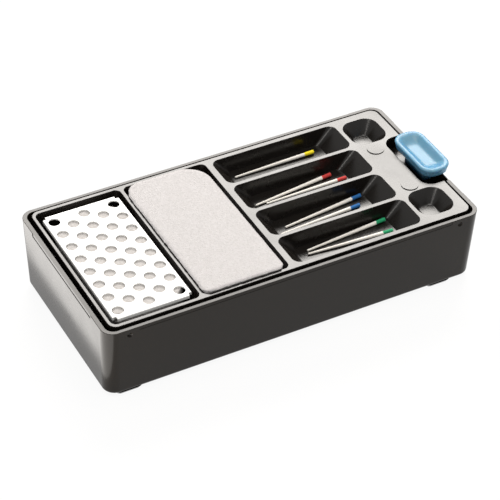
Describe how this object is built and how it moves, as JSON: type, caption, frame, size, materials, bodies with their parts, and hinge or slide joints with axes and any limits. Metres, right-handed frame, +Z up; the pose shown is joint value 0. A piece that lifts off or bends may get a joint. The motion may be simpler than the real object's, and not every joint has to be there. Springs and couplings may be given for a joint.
{
  "type": "dental instrument cassette",
  "caption": "Dental instrument cassette: a black box with a lift-out compartment tray, a white perforated plate over foam, a sponge pad, paper points and a translucent blue cup.",
  "frame": {"origin": "on the table, under the middle of the whole cassette with its cup counted in; the middle of the box itself is 1.35 mm to the left of it", "axes": "+X along the length towards the cup, +Y to the back, +Z up"},
  "size_m": [0.1276, 0.062, 0.0288],
  "materials": {
    "box_plastic": "glossy black moulded plastic",
    "tray_plastic": "satin black moulded plastic",
    "white_plate": "white coated sheet",
    "foam": "light grey open-cell foam",
    "sponge": "off-white fine sponge",
    "blue_plastic": "translucent light blue plastic",
    "paper_yellow": "rolled white paper, thick end dyed yellow",
    "paper_red": "rolled white paper, thick end dyed red",
    "paper_blue": "rolled white paper, thick end dyed blue",
    "paper_green": "rolled white paper, thick end dyed green"
  },
  "bodies": {
    "base": {"base_box": "box_plastic"},
    "tray": {"tray_insert": "tray_plastic"},
    "foam": {"file_foam": "foam"},
    "plate": {"perforated_plate": "white_plate"},
    "sponge": {"sponge_pad": "sponge"},
    "cup": {"blue_cup": "blue_plastic"},
    "point_yellow": {"paper_point_yellow": "paper_yellow"},
    "point_red_1": {"paper_point_red_1": "paper_red"},
    "point_red_2": {"paper_point_red_2": "paper_red"},
    "point_blue_1": {"paper_point_blue_1": "paper_blue"},
    "point_blue_2": {"paper_point_blue_2": "paper_blue"},
    "point_green_1": {"paper_point_green_1": "paper_green"},
    "point_green_2": {"paper_point_green_2": "paper_green"}
  },
  "joints": [
    {"name": "tray_lift", "type": "slide", "parent": "base", "child": "tray", "axis": [0, 0, 1], "range_m": [0, 0.03]},
    {"name": "foam_lift", "type": "slide", "parent": "tray", "child": "foam", "axis": [0, 0, 1], "range_m": [0, 0.025]},
    {"name": "plate_lift", "type": "slide", "parent": "foam", "child": "plate", "axis": [0, 0, 1], "range_m": [0, 0.012]},
    {"name": "sponge_lift", "type": "slide", "parent": "tray", "child": "sponge", "axis": [0, 0, 1], "range_m": [0, 0.025]},
    {"name": "cup_lift", "type": "slide", "parent": "tray", "child": "cup", "axis": [0, 0, 1], "range_m": [0, 0.012]},
    {"name": "point_yellow_lift", "type": "slide", "parent": "tray", "child": "point_yellow", "axis": [0, 0, 1], "range_m": [0, 0.012]},
    {"name": "point_red_1_lift", "type": "slide", "parent": "tray", "child": "point_red_1", "axis": [0, 0, 1], "range_m": [0, 0.012]},
    {"name": "point_red_2_lift", "type": "slide", "parent": "tray", "child": "point_red_2", "axis": [0, 0, 1], "range_m": [0, 0.012]},
    {"name": "point_blue_1_lift", "type": "slide", "parent": "tray", "child": "point_blue_1", "axis": [0, 0, 1], "range_m": [0, 0.012]},
    {"name": "point_blue_2_lift", "type": "slide", "parent": "tray", "child": "point_blue_2", "axis": [0, 0, 1], "range_m": [0, 0.012]},
    {"name": "point_green_1_lift", "type": "slide", "parent": "tray", "child": "point_green_1", "axis": [0, 0, 1], "range_m": [0, 0.012]},
    {"name": "point_green_2_lift", "type": "slide", "parent": "tray", "child": "point_green_2", "axis": [0, 0, 1], "range_m": [0, 0.012]}
  ]
}
